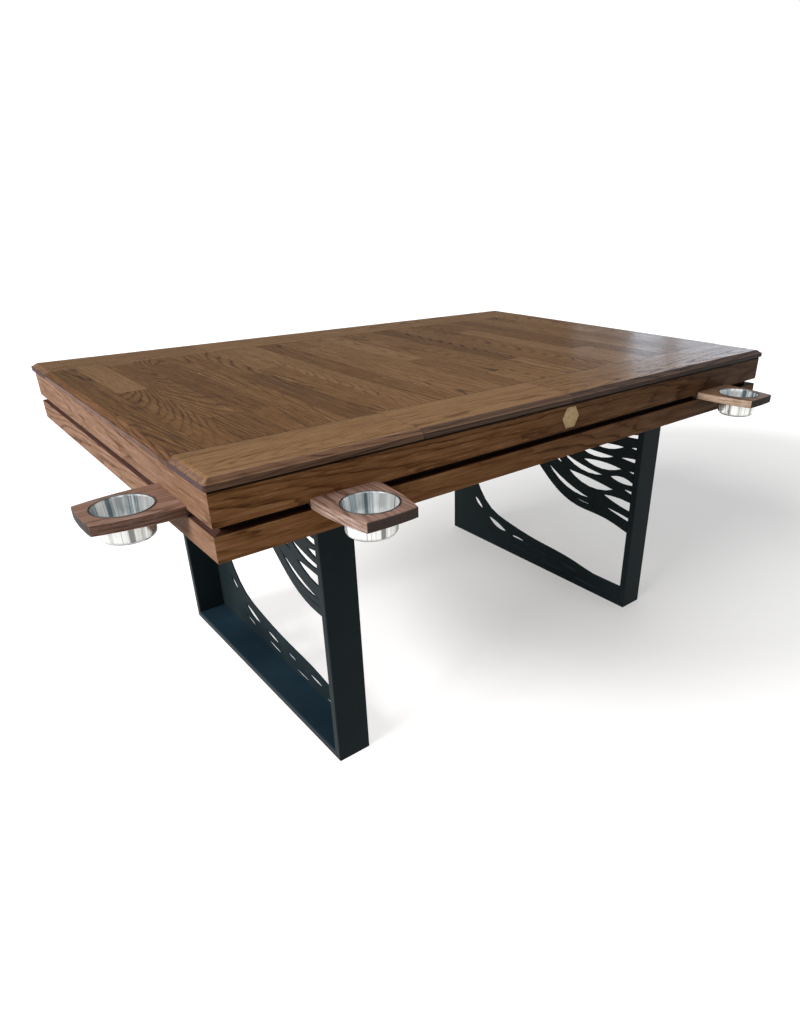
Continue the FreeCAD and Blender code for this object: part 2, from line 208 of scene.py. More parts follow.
def oak_group():
    """Oak as a solid: growth rings about a tilted pith, fibres, pores and rays.

    Board is (along, across, depth) in metres. Tone runs from 0, dark, to 1, light."""
    group = bpy.data.node_groups.new("oak_figure", "ShaderNodeTree")
    interface = group.interface
    interface.new_socket("Board", in_out="INPUT", socket_type="NodeSocketVector")
    for name in ("Seed", "Pith across", "Pith depth", "Lean across", "Lean depth", "Rings", "Rays"):
        interface.new_socket(name, in_out="INPUT", socket_type="NodeSocketFloat")
    for name in ("Tone", "Height"):
        interface.new_socket(name, in_out="OUTPUT", socket_type="NodeSocketFloat")
    sheet = Sheet(group)
    start = group.nodes.new("NodeGroupInput")
    end = group.nodes.new("NodeGroupOutput")
    along, across, depth = sheet.split(start.outputs["Board"])
    seed = start.outputs["Seed"]

    def stretched(length_scale, width_scale, shift, **settings):
        """Noise drawn out along the grain. Scales are per metre, and shift sets layers apart."""
        vector = sheet.join(sheet.add(sheet.mul(along, length_scale), sheet.mul(seed, shift)),
                            sheet.add(sheet.mul(across, width_scale), sheet.mul(seed, 31.7)),
                            sheet.mul(depth, width_scale))
        return sheet.noise(vector, **settings)

    # Distance from the pith, which leans and wanders
    wander = sheet.split(stretched(1.6, 7.0, 57.1, detail=2.0, colour=True))
    ripple = sheet.spread(stretched(14.0, 75.0, 23.9, detail=1.0), -1.6 * mm, 1.6 * mm)
    side = sheet.sub(sheet.sub(across, start.outputs["Pith across"]),
                     sheet.mul(along, start.outputs["Lean across"]))
    side = sheet.add(side, sheet.spread(wander[0], -10 * mm, 10 * mm), ripple)
    deep = sheet.sub(sheet.sub(depth, start.outputs["Pith depth"]),
                     sheet.mul(along, start.outputs["Lean depth"]))
    deep = sheet.add(deep, sheet.spread(wander[1], -12 * mm, 12 * mm), ripple)
    radius = sheet.length(side, deep)

    # Growth rings: dark early wood full of vessels, and a paler band of late wood
    uneven = sheet.noise(sheet.join(sheet.mul(radius, 46.0), sheet.mul(seed, 9.3)), detail=1.0)
    count = sheet.add(sheet.mul(radius, start.outputs["Rings"]), sheet.spread(uneven, -0.9, 0.9))
    part = sheet.math("FRACT", count)
    strength = sheet.dice(sheet.join(sheet.math("FLOOR", count), seed))[0]
    vessels = sheet.step(stretched(30.0, 520.0, 17.9, detail=1.0), 0.36, 0.54, 0.50, 1.0)
    plain = sheet.step(stretched(2.1, 9.0, 67.3, detail=1.0), 0.36, 0.56, 0.20, 1.0)
    early_line = sheet.math("MAXIMUM", sheet.step(part, 0.04, 0.30, 1.0, 0.0),
                            sheet.step(part, 0.94, 1.0))
    ring = sheet.mul(early_line, vessels, plain, sheet.spread(strength, 0.45, 1.0))
    late = sheet.mul(sheet.step(part, 0.30, 0.55), sheet.step(part, 0.70, 0.92, 1.0, 0.0), plain)

    # Fibres, flecks, pores and the silver rays that run out from the pith
    fibre = stretched(5.0, 420.0, 71.3, detail=3.0, rough=0.65)
    streak = stretched(2.6, 100.0, 13.7, detail=3.0, rough=0.6)
    fleck = stretched(15.0, 230.0, 37.3, detail=2.0, rough=0.6)
    blotch = stretched(1.5, 6.0, 41.9, detail=1.0)
    pore_noise = stretched(52.0, 1050.0, 91.1, detail=1.0)
    pore = sheet.mul(sheet.step(pore_noise, 0.54, 0.70), sheet.step(part, 0.05, 0.55, 1.0, 0.25))
    turn = sheet.math("ARCTAN2", side, deep)
    ray_noise = sheet.noise(sheet.join(sheet.mul(along, 34.0), sheet.mul(turn, 46.0),
                                       sheet.mul(radius, 24.0)), detail=1.0, rough=0.4)
    ray = sheet.step(ray_noise, 0.63, 0.70)

    tone = sheet.add(
        0.70,
        sheet.mul(ring, -0.70),
        sheet.mul(late, 0.10),
        sheet.spread(fibre, -0.36, 0.36),
        sheet.spread(fleck, -0.46, 0.46),
        sheet.spread(streak, -0.36, 0.36),
        sheet.spread(blotch, -0.12, 0.12),
        sheet.mul(pore, -0.24),
        sheet.mul(ray, start.outputs["Rays"]))
    sheet.put(end.inputs["Tone"], tone)
    sheet.put(end.inputs["Height"], sheet.add(sheet.mul(fibre, 0.35), sheet.mul(pore, -0.8)))
    return group


OAK = oak_group()


def figure(sheet, board, seed, pith, lean, rings, rays):
    """Tone and height of oak, with its pith and the pith's lean given across and in depth."""
    node = sheet.node("Group", {"Board": board, "Seed": seed, "Pith across": pith[0],
                                "Pith depth": pith[1], "Lean across": lean[0],
                                "Lean depth": lean[1], "Rings": rings, "Rays": rays},
                      node_tree=OAK)
    return node.outputs["Tone"], node.outputs["Height"]


def finish_oak(sheet, shader, tone, height, shade, axes, rough, gleam, faces,
               tint=WHITE, contrast=1.0):
    """Colour, gloss and relief of an oak surface from its figure.

    Cut ends are greyer and calmer. Faces has (look, turn, painted tint, dullness): painted light
    and shade on the faces by the way they look, and the tints multiply where more than one is on a
    face."""
    cut = sheet.step(sheet.size(sheet.split(sheet.normal())[axes[0]]), 0.45, 0.85)
    calm = sheet.spread(cut, contrast, contrast * 0.4)
    tone = sheet.add(0.5, sheet.mul(sheet.sub(tone, 0.5), calm), sheet.mul(cut, -0.08))
    colour = sheet.ramp(tone, OAK_COLOURS)
    colour = sheet.blend("MULTIPLY", 1.0, colour, (*tint, 1.0))
    grey = sheet.node("HueSaturation", {"Saturation": 0.62, "Value": 0.62, "Color": colour})
    colour = sheet.blend("MIX", cut, colour, grey.outputs[0])
    dull = 0.0
    # Painted light and shade: each face is tinted by the way it looks
    for look, turn, painted_tint, dullness in faces:
        axis, sign = LOOKS[look]
        facing = sheet.mul(sheet.split(sheet.normal())[axis], float(sign))
        turned = sheet.step(facing, *turn)
        colour = sheet.blend("MULTIPLY", turned, colour, (*painted_tint, 1.0))
        dull = sheet.add(dull, sheet.mul(turned, dullness))
    sheet.put(shader.inputs["Base Color"], sheet.dim(colour, shade))
    gloss = sheet.noise(sheet.place(), scale=9.0, detail=3.0)
    roughness = sheet.add(rough, sheet.spread(gloss, -0.05, 0.05),
                          sheet.mul(sheet.sub(0.5, tone), 0.16), sheet.mul(cut, 0.14), dull)
    sheet.put(shader.inputs["Roughness"], roughness)
    shader.inputs["Specular IOR Level"].default_value = gleam
    sheet.put(shader.inputs["Normal"], sheet.bump(height, 0.28 * mm, 0.75))


def lines_show(sheet):
    """1 where a board's dark lines show, and 0 on faces that look left or right."""
    return sheet.step(sheet.size(sheet.split(sheet.normal())[0]), 0.40, 0.80, 1.0, 0.0)


def board_material(name, axes, tint=WHITE, rings=150.0, lift=0.0, rough=0.40, gleam=0.42,
                   contrast=1.0, rays=0.10, faces=(), pith=(0.055, 0.095), lean=(0.015, 0.045),
                   ends=0.0, light_falloff=None, painted_top_shadow=0.0):
    """One solid board. The pith lies outside it, leaning, so its faces show arches.

    Pith and lean are ranges: how deep it lies in metres, and its slope. Lift makes the wood paler,
    and gleam is its specular level. Ends is the width of a dark line at both ends. Painted top
    shadow is the width of a painted shadow along the top, where the cover overhangs. Light falloff
    is how light the board is painted at its first end and at its last: painted window light that
    fades along the board."""
    material, sheet, shader = new_material("oak_" + name)
    low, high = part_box(name)
    length, width = (high - low)[axes[0]], (high - low)[axes[1]]
    place = sheet.place()
    shifted = sheet.node("VectorMath", {0: place, 1: tuple((low + high) / 2)},
                         operation="SUBTRACT").outputs[0]
    xyz = sheet.split(shifted)
    along = xyz[axes[0]]
    board = sheet.join(*(xyz[axis] for axis in axes))

    seed = dealer.uniform(0, 10)
    pith_across = dealer.uniform(-0.45, 0.45) * width
    pith_depth = dealer.choice((-1, 1)) * dealer.uniform(*pith)
    lean_across = dealer.uniform(-0.02, 0.02)
    lean_depth = dealer.choice((-1, 1)) * dealer.uniform(*lean)
    tone, height = figure(sheet, board, seed, (pith_across, pith_depth),
                          (lean_across, lean_depth), rings, rays)
    tone = sheet.add(tone, lift + dealer.uniform(-0.05, 0.05))

    shade = 1.0
    if ends:
        end_lines = line(sheet, sheet.size(along), length / 2, ends)
        shade = sheet.sub(1.0, sheet.mul(end_lines, lines_show(sheet), 0.35))
    # Painted light: lighter at one end and darker at the other, as window light falls off along the
    # board
    if light_falloff:
        run = sheet.split(place)[axes[0]]
        shade = sheet.mul(shade, sheet.step(run, low[axes[0]], high[axes[0]], *light_falloff))
    # Painted shadow along the top of the board, where the cover overhangs it
    if painted_top_shadow:
        up = sheet.split(place)[2]
        shade = sheet.mul(shade, sheet.step(up, high.z - painted_top_shadow, high.z - painted_top_shadow * 0.6, 1.0, 0.10))
    finish_oak(sheet, shader, tone, height, shade, axes, rough, gleam, faces, tint, contrast)
    return material


# Eased edges

# An edge is sharp where its faces turn by more than this
SHARP = math.radians(32)
# Points within the gap are welded, and heights within a hair are the same
WELD_GAP = 0.02 * mm
HAIR = 0.1 * mm


def cover_box():
    """Lowest and highest corners of the closed cover."""
    boxes = [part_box("leaf_%d_%s" % (leaf, part)) for leaf in LEAVES
             for part in ("field", "end_front", "end_back")]
    return (Vector([min(low[axis] for low, high in boxes) for axis in range(3)]),
            Vector([max(high[axis] for low, high in boxes) for axis in range(3)]))


COVER_LOW, COVER_HIGH = cover_box()
# How far in from the cover's outline its crown may lie
CROWN_INSET = 12.0 * mm


def dress(name, material):
    """Gives a CAD node one material."""
    mesh = nodes[name].data
    mesh.materials.clear()
    mesh.materials.append(material)
    for polygon in mesh.polygons:
        polygon.material_index = 0


def sharp_edges(mesh):
    """Index and both ends of each edge where two faces meet at an angle."""
    bm = bmesh.new()
    bm.from_mesh(mesh)
    found = [(edge.index, edge.verts[0].co.copy(), edge.verts[1].co.copy()) for edge in bm.edges
             if len(edge.link_faces) != 2 or edge.calc_face_angle() > SHARP]
    bm.free()
    return found


def insets(point):
    """How far a point lies in from the cover's outline, along x and along y."""
    return (min(point.x - COVER_LOW.x, COVER_HIGH.x - point.x),
            min(point.y - COVER_LOW.y, COVER_HIGH.y - point.y))


def on_outline(first, second):
    """Whether an edge is the crown of the cover's bevel, or one of the cover's corners."""
    ends = insets(first), insets(second)
    at_top = min(first.z, second.z) > COVER_HIGH.z - HAIR
    crown = at_top and max(min(end) for end in ends) < CROWN_INSET
    level = abs(first.z - second.z) < HAIR
    corner = max(max(end) for end in ends) < CROWN_INSET
    return crown or corner and not level


def soften(name, width, segments=2, outline=0.0):
    """Eases a CAD node's edges by a hair, so that they catch light.

    With outline, edges on the outline of the cover are rounded by that much instead."""
    obj = nodes[name]
    mesh = obj.data
    if "custom_normal" in mesh.attributes:
        mesh.attributes.remove(mesh.attributes["custom_normal"])
    mesh.polygons.foreach_set("use_smooth", [False] * len(mesh.polygons))
    weld = obj.modifiers.new("weld", "WELD")
    weld.merge_threshold = WELD_GAP
    bevel = obj.modifiers.new("ease", "BEVEL")
    bevel.width = max(width, outline)
    bevel.segments = segments
    bevel.limit_method = "ANGLE"
    bevel.angle_limit = SHARP
    if outline:
        bevel.limit_method = "WEIGHT"
        bevel.use_clamp_overlap = False
        weights = mesh.attributes.new("bevel_weight_edge", "FLOAT", "EDGE").data
        for index, first, second in sharp_edges(mesh):
            weights[index].value = 1.0 if on_outline(first, second) else width / outline


# Cover

LEAF_LENGTH = (COVER_HIGH.x - COVER_LOW.x) / len(LEAVES)
STAVES_PER_LEAF = 6
# Shortest and longest stave, and how far the cuts of a lane are shifted, at least and at most
STAVE_LENGTHS = (420 * mm, 780 * mm)
STAVE_SHIFTS = (1000 * mm, 1900 * mm)
# How far a stave's pith lies to either side, how deep, and how much it leans each way
STAVE_PITH_ACROSS = 55 * mm
STAVE_PITH_DEPTHS = (45 * mm, 100 * mm)
STAVE_LEAN_ACROSS, STAVE_LEAN_DEPTH = 0.02, 0.10
COVER_EASE = 0.4 * mm
COVER_ROUNDING = 4.0 * mm
BATTEN_EASE = 0.8 * mm
TOP_ROUGH, TOP_GLEAM = 0.21, 0.36
# Width of the dark line at each end of an end board
END_LINE = 1.2 * mm
# Half widths of a field's lines: the seam to the next leaf, the joint to an end board, the glue
# between two staves of a lane, and the glue between lanes as a share of a stave's width
SEAM_LINE = 1.0 * mm
JOINT_LINE = 2.6 * mm
GLUE_LINE = 0.9 * mm
LANE_LINE_SHARE = 0.012
# Painted light and shade on the cover's edges at the left and right ends: painted shade on the
# uprights and, on the left, a painted blue cast of window light on upright and bevel
SIDE_EDGE_LIGHT_AND_SHADE = (("left", UPRIGHT, (0.70, 0.74, 1.10), 0.35),
             ("left", BEVEL, (0.90, 0.90, 1.15), 0.20),
             ("right", UPRIGHT, (0.60, 0.50, 0.50), 0.35))
# Painted shade on the front bevel, deeper from leaf to leaf
FRONT_EDGE_SHADES = {1: (0.50, 0.42, 0.43), 2: (0.26, 0.20, 0.18), 3: (0.16, 0.11, 0.09),
                4: (0.11, 0.07, 0.055)}
# Depth and lean of the pith in the end boards, and how much paler they are than other boards
END_PITHS = {1: ((0.035, 0.045), (0.10, 0.12)), 2: ((0.080, 0.100), (0.00, 0.01)),
             3: ((0.060, 0.080), (0.03, 0.05)), 4: ((0.060, 0.080), (0.03, 0.05))}
END_LIFTS = {1: 0.08, 2: 0.20, 3: 0.08, 4: 0.07}


def end_board_light_and_shade(leaf):
    """Painted light and shade on an end board's edges: painted shade on the front bevel and
    upright, painted light on the left upright, and the cover's side edges.
    """
    return (("front", BEVEL, FRONT_EDGE_SHADES[leaf], 0.34),
            ("front", UPRIGHT, (0.7, 0.7, 0.7), 0.20),
            ("left", UPRIGHT, (1.25, 1.06, 0.82), 0.0)) + SIDE_EDGE_LIGHT_AND_SHADE


def field_material(leaf):
    """A laminated field: staves side by side with staggered butt joints."""
    name = "leaf_%d_field" % leaf
    material, sheet, shader = new_material("oak_" + name)
    low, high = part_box(name)
    middle = (low + high) / 2
    front_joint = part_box("leaf_%d_end_front" % leaf)[1].y
    x, y, z = sheet.split(sheet.place())

    # Lanes lie side by side along x, and each is cut into runs along y
    stave_width = LEAF_LENGTH / STAVES_PER_LEAF
    lane_value = sheet.math("DIVIDE", sheet.add(x, -COVER_LOW.x), stave_width)
    lane = sheet.math("FLOOR", lane_value)
    lane_part = sheet.sub(lane_value, lane)
    lane_dice = sheet.dice(sheet.join(lane, 3.1 + leaf))
    length = sheet.spread(lane_dice[0], *STAVE_LENGTHS)
    first_cut = sheet.spread(lane_dice[1], *STAVE_SHIFTS)
    run_value = sheet.math("DIVIDE", sheet.add(y, first_cut), length)
    run = sheet.math("FLOOR", run_value)
    run_part = sheet.mul(sheet.sub(run_value, run), length)

    dice = sheet.dice(sheet.join(lane, run, 7.7))
    more = sheet.dice(sheet.join(run, lane, 2.3))
    flip = sheet.sub(sheet.mul(sheet.step(more[2], 0.499, 0.501), 2.0), 1.0)
    pith = (sheet.spread(dice[1], -STAVE_PITH_ACROSS, STAVE_PITH_ACROSS),
            sheet.mul(sheet.spread(dice[2], *STAVE_PITH_DEPTHS), flip))
    lean = (sheet.spread(more[0], -STAVE_LEAN_ACROSS, STAVE_LEAN_ACROSS),
            sheet.spread(more[1], -STAVE_LEAN_DEPTH, STAVE_LEAN_DEPTH))
    board = sheet.join(y, sheet.mul(sheet.sub(lane_part, 0.5), stave_width), sheet.sub(z, high.z))
    tone, height = figure(sheet, board, sheet.mul(dice[0], 10.0), pith, lean,
                          rings=205.0, rays=0.12)
    tone = sheet.add(tone, sheet.spread(sheet.dice(sheet.join(run, lane, 5.9))[0], -0.25, 0.25))

    glue = sheet.math("MAXIMUM", line(sheet, lane_part, 0.0, LANE_LINE_SHARE),
                      sheet.math("MAXIMUM", line(sheet, lane_part, 1.0, LANE_LINE_SHARE),
                                 line(sheet, run_part, 0.0, GLUE_LINE)))
    seam = line(sheet, sheet.size(sheet.sub(x, middle.x)), high.x - middle.x, SEAM_LINE)
    joint = line(sheet, sheet.size(sheet.sub(y, middle.y)), middle.y - front_joint, JOINT_LINE)
    shown = lines_show(sheet)
    shade = sheet.mul(sheet.sub(1.0, sheet.mul(glue, shown, 0.28)),
                      sheet.sub(1.0, sheet.mul(sheet.math("MAXIMUM", seam, joint), shown, 0.72)))
    finish_oak(sheet, shader, tone, height, shade, FLAT_Y, TOP_ROUGH, TOP_GLEAM, SIDE_EDGE_LIGHT_AND_SHADE)
    return material


def dress_cover():
    for leaf in LEAVES:
        name = "leaf_%d_field" % leaf
        dress(name, field_material(leaf))
        soften(name, COVER_EASE, segments=3, outline=COVER_ROUNDING)
        pith, lean = END_PITHS[leaf]
        for end in ("end_front", "end_back"):
            name = "leaf_%d_%s" % (leaf, end)
            dress(name, board_material(name, FLAT_X, rings=200.0, lift=END_LIFTS[leaf],
                                       rough=TOP_ROUGH, gleam=TOP_GLEAM, contrast=1.5,
                                       faces=end_board_light_and_shade(leaf), pith=pith, lean=lean,
                                       ends=END_LINE))
            soften(name, COVER_EASE, segments=3, outline=COVER_ROUNDING)
        name = "leaf_%d_battens" % leaf
        dress(name, board_material(name, FLAT_Y, lift=0.08, rough=0.55))
        soften(name, BATTEN_EASE)


# Rails, aprons and bearers

RAIL_EASE = 0.5 * mm
BEARER_EASE = 1.2 * mm
# Tint of the oak on each side, with painted light in it: the left rails' much paler, bluer tint is
# painted window light
RAIL_TINTS_AND_PAINTED_LIGHT = {"front": (0.94, 0.86, 0.90), "right": (1.0, 0.9, 0.85), "back": (1.0, 0.9, 0.85),
              "left": (1.24, 1.40, 2.45)}
RAIL_ROUGH = {"front": 0.5, "right": 0.5, "back": 0.5, "left": 0.62}
RAIL_CONTRAST = {"front": 0.85, "right": 0.85, "back": 0.85, "left": 0.75}
RAIL_GLEAM = {"front": 0.04, "right": 0.18, "back": 0.18, "left": 0.04}
RAIL_RAYS = {"upper_rail": 0.30, "lower_rail": 0.14}
# Width of the painted shadow along the top of the upper rails, under the cover's overhang
PAINTED_TOP_SHADOW_WIDTHS = {"front": 4.0 * mm, "right": 3.0 * mm, "back": 3.0 * mm, "left": 1.2 * mm}
# Painted light: the front rails go from light to dark along the table, as the window light falls
# off
FRONT_LIGHT_FALLOFF = (1.17, 0.40)
# Painted shade on the rails' upper faces, for the shade in the slot, where the lower rail's shows.
# The front's is darker.
SLOT_LEDGE_SHADE = (("up", LEVEL, (0.50, 0.46, 0.62), 0.0),)
FRONT_SLOT_LEDGE_SHADE = (("up", LEVEL, (0.20, 0.18, 0.24), 0.0),)
# Near black: painted shade of the slot, where the aprons show between the rails
APRON_PAINTED_SHADE = (0.10, 0.10, 0.10)


def dress_rails():
    for side in SIDES:
        axes = UPRIGHT_X if side in ("front", "back") else UPRIGHT_Y
        for part in ("upper_rail", "lower_rail"):
            name = "%s_%s" % (part, side)
            dress(name, board_material(name, axes, tint=RAIL_TINTS_AND_PAINTED_LIGHT[side], rings=225.0,
                                       rough=RAIL_ROUGH[side], gleam=RAIL_GLEAM[side],
                                       contrast=RAIL_CONTRAST[side], rays=RAIL_RAYS[part],
                                       faces=FRONT_SLOT_LEDGE_SHADE if side == "front" else SLOT_LEDGE_SHADE,
                                       pith=(0.080, 0.130), lean=(0.008, 0.030),
                                       light_falloff=FRONT_LIGHT_FALLOFF if side == "front" else None,
                                       painted_top_shadow=PAINTED_TOP_SHADOW_WIDTHS[side] if part == "upper_rail" else 0.0))
            soften(name, RAIL_EASE)
        name = "apron_" + side
        dress(name, board_material(name, axes, tint=APRON_PAINTED_SHADE, rough=0.6, gleam=0.15))


def dress_bearers():
    for part in ("left", "middle", "right"):
        name = "bearer_" + part
        dress(name, board_material(name, FLAT_Y, rough=0.5))
        soften(name, BEARER_EASE)


# Cup holders

HOLDER_EASE = 2.2 * mm
HOLDER_TINTS = {"a": (1.32, 1.54, 3.1), "b": (1.40, 1.70, 3.6), "c": (0.78, 0.90, 1.55),
                "d": (1.30, 1.52, 3.0)}
# Painted light and shade on the faces that look to the front and to the left: painted shade on the
# fronts, painted shade on holder a's left face and painted light on b's and c's
HOLDER_PAINTED_LIGHT = {"a": (("front", SQUARE, (0.60, 0.56, 0.55), 0.15),
                      ("left", SQUARE, (0.34, 0.34, 0.38), 0.10)),
                "b": (("front", SQUARE, (0.42, 0.38, 0.36), 0.15),
                      ("left", SQUARE, (1.22, 1.40, 1.50), 0.15)),
                "c": (("front", SQUARE, (0.24, 0.22, 0.22), 0.15),
                      ("left", SQUARE, (2.05, 2.50, 2.75), 0.15)),
                "d": (("front", SQUARE, (0.60, 0.56, 0.55), 0.15),)}


def dress_holders():
    for letter in LETTERS:
        name = "holder_" + letter
        axes = FLAT_X if letter in "ad" else FLAT_Y
        dress(name, board_material(name, axes, tint=HOLDER_TINTS[letter], gleam=0.20,
                                   contrast=0.85, faces=HOLDER_PAINTED_LIGHT[letter]))
        soften(name, HOLDER_EASE, segments=3)


# Other materials

def well_board_material():
    """Birch plywood: a pale face veneer, and its plies on the edges."""
    material, sheet, shader = new_material("well_board")
    x, y, z = sheet.split(sheet.place())
    veneer = sheet.noise(sheet.join(sheet.mul(x, 3.0), sheet.mul(y, 60.0), sheet.mul(z, 8.0)),
                         detail=4.0, twist=0.4)
    ply = sheet.math("FRACT", sheet.mul(z, 640.0))
    edge = sheet.step(sheet.size(sheet.split(sheet.normal())[2]), 0.4, 0.8, 1.0, 0.0)
    tone = sheet.add(veneer, sheet.mul(edge, sheet.step(ply, 0.4, 0.6, -0.25, 0.1)))
    sheet.put(shader.inputs["Base Color"], sheet.ramp(
        tone, ((0.15, (0.30, 0.17, 0.08)), (0.5, (0.52, 0.35, 0.19)), (0.85, (0.62, 0.45, 0.27)))))
    sheet.put(shader.inputs["Roughness"], sheet.spread(veneer, 0.5, 0.65))
    sheet.put(shader.inputs["Normal"], sheet.bump(veneer, 0.2 * mm, 0.5))
    return material


def rubber_material():
    """Black foam rubber strip."""
    material, sheet, shader = new_material("spacer_rubber")
    cells = sheet.noise(sheet.place(), scale=900.0, detail=2.0)
    wear = sheet.noise(sheet.place(), scale=14.0, detail=3.0)
    sheet.put(shader.inputs["Base Color"], sheet.ramp(
        wear, ((0.3, (0.006, 0.006, 0.007)), (0.7, (0.016, 0.015, 0.015)))))
    sheet.put(shader.inputs["Roughness"], sheet.spread(cells, 0.7, 0.95))
    sheet.put(shader.inputs["Normal"], sheet.bump(cells, 0.3 * mm, 0.6))
    return material


def leg_material():
    """Powder coat on steel: blue-black, with a fine orange peel and a little dust.

    Faces that look up are painted bluer and lighter: painted light from above."""
    material, sheet, shader = new_material("leg_steel")
    place = sheet.place()
    peel = sheet.noise(place, scale=520.0, detail=2.0, rough=0.45)
    cloud = sheet.noise(place, scale=5.0, detail=4.0)
    speck = sheet.step(sheet.noise(place, scale=1500.0, detail=1.0), 0.70, 0.78)
    tone = sheet.add(cloud, sheet.mul(speck, 0.35))
    colour = sheet.ramp(tone, ((0.30, (0.0105, 0.0172, 0.0200)), (0.62, (0.0155, 0.0240, 0.0275)),
                               (1.0, (0.034, 0.047, 0.053))))
    # Painted light: faces that look up are bluer and lighter
    level = sheet.step(sheet.split(sheet.normal())[2], 0.5, 0.8)
    sheet.put(shader.inputs["Base Color"],
              sheet.blend("MULTIPLY", level, colour, (1.00, 1.45, 1.90, 1.0)))
    sheet.put(shader.inputs["Roughness"],
              sheet.add(sheet.spread(cloud, 0.40, 0.52), sheet.spread(peel, -0.04, 0.04)))
    shader.inputs["Specular IOR Level"].default_value = 0.05
    sheet.put(shader.inputs["Normal"], sheet.bump(peel, 0.22 * mm, 0.55))
    return material


def emblem_material():
    """Aged brass plate, brushed along its length, with patina."""
    material, sheet, shader = new_material("emblem_metal")
    x, _, z = sheet.split(sheet.place())
    brush = sheet.noise(sheet.join(sheet.mul(x, 60.0), 0.0, sheet.mul(z, 2400.0)), detail=2.0)
    patina = sheet.noise(sheet.place(), scale=120.0, detail=4.0)
    tone = sheet.add(sheet.mul(brush, 0.45), sheet.mul(patina, 0.55))
    sheet.put(shader.inputs["Base Color"], sheet.ramp(
        tone, ((0.30, (0.17, 0.108, 0.048)), (0.55, (0.34, 0.235, 0.115)),
               (0.8, (0.47, 0.35, 0.19)))))
    sheet.put(shader.inputs["Roughness"], sheet.spread(patina, 0.30, 0.50))
    shader.inputs["Metallic"].default_value = 0.7
    sheet.put(shader.inputs["Normal"], sheet.bump(brush, 0.06 * mm, 0.5))
    return material


METAL_EASE = 0.25 * mm
FRET_EASE = 0.35 * mm
TUBES = ("bottom_bar", "back_post", "top_bar", "front_post")
FRETS = ("fret_upper", "fret_lower")


def dress_others():
    """Floor of the well, spacers, emblem and legs."""
    dress("well_floor", well_board_material())
    dress("cover_spacers", rubber_material())
    dress("emblem", emblem_material())
    soften("emblem", METAL_EASE)
    steel = leg_material()
    for leg in LEGS:
        for part in TUBES + FRETS:
            name = "leg_%s_%s" % (leg, part)
            dress(name, steel)
            soften(name, FRET_EASE if part in FRETS else METAL_EASE)


# Made pieces

def make_object(name, bm, material, smooth=True):
    """A new object from a bmesh, which is used up."""
    mesh = bpy.data.meshes.new(name)
    bm.normal_update()
    bm.to_mesh(mesh)
    bm.free()
    mesh.polygons.foreach_set("use_smooth", [smooth] * len(mesh.polygons))
    mesh.materials.append(material)
    obj = bpy.data.objects.new(name, mesh)
    scene.collection.objects.link(obj)
    return obj


def cylinder(bm, radius, height, centre, segments, caps=True):
    """Adds an upright cylinder to a bmesh."""
    bmesh.ops.create_cone(bm, cap_ends=caps, segments=segments, radius1=radius, radius2=radius,
                          depth=height, matrix=Matrix.Translation(centre))


# Cups

TURNED_SEGMENTS = 96
ARC_STEPS = 8
ON_AXIS = 0.001 * mm
# How far a cup's rolled rim stands above its holder
CUP_RISE = 1.4 * mm
# How far in from the rim its painted dark reflection is full and where it ends, and how far below
# the top the painted shade of the foot is full and where it ends
RIM_FULL, RIM_NONE = 3.0 * mm, 3.6 * mm
FOOT_FULL, FOOT_NONE = 54.0 * mm, 45.0 * mm
# Painted reflections of the polished steel, inside and outside, as bands from dark to light
CUP_INSIDE_REFLECTIONS = ((0.38, (0.16, 0.215, 0.235)), (0.435, (0.30, 0.37, 0.40)),
              (0.45, (0.72, 0.81, 0.85)), (0.50, (0.54, 0.62, 0.66)),
              (0.512, (0.98, 1.0, 1.0)), (0.60, (1.0, 1.0, 0.99)))
CUP_OUTSIDE_REFLECTIONS = ((0.36, (0.22, 0.22, 0.21)), (0.42, (0.50, 0.50, 0.47)),
               (0.44, (0.76, 0.76, 0.73)), (0.49, (0.62, 0.62, 0.59)),
               (0.51, (0.88, 0.88, 0.86)), (0.60, (0.90, 0.90, 0.88)))


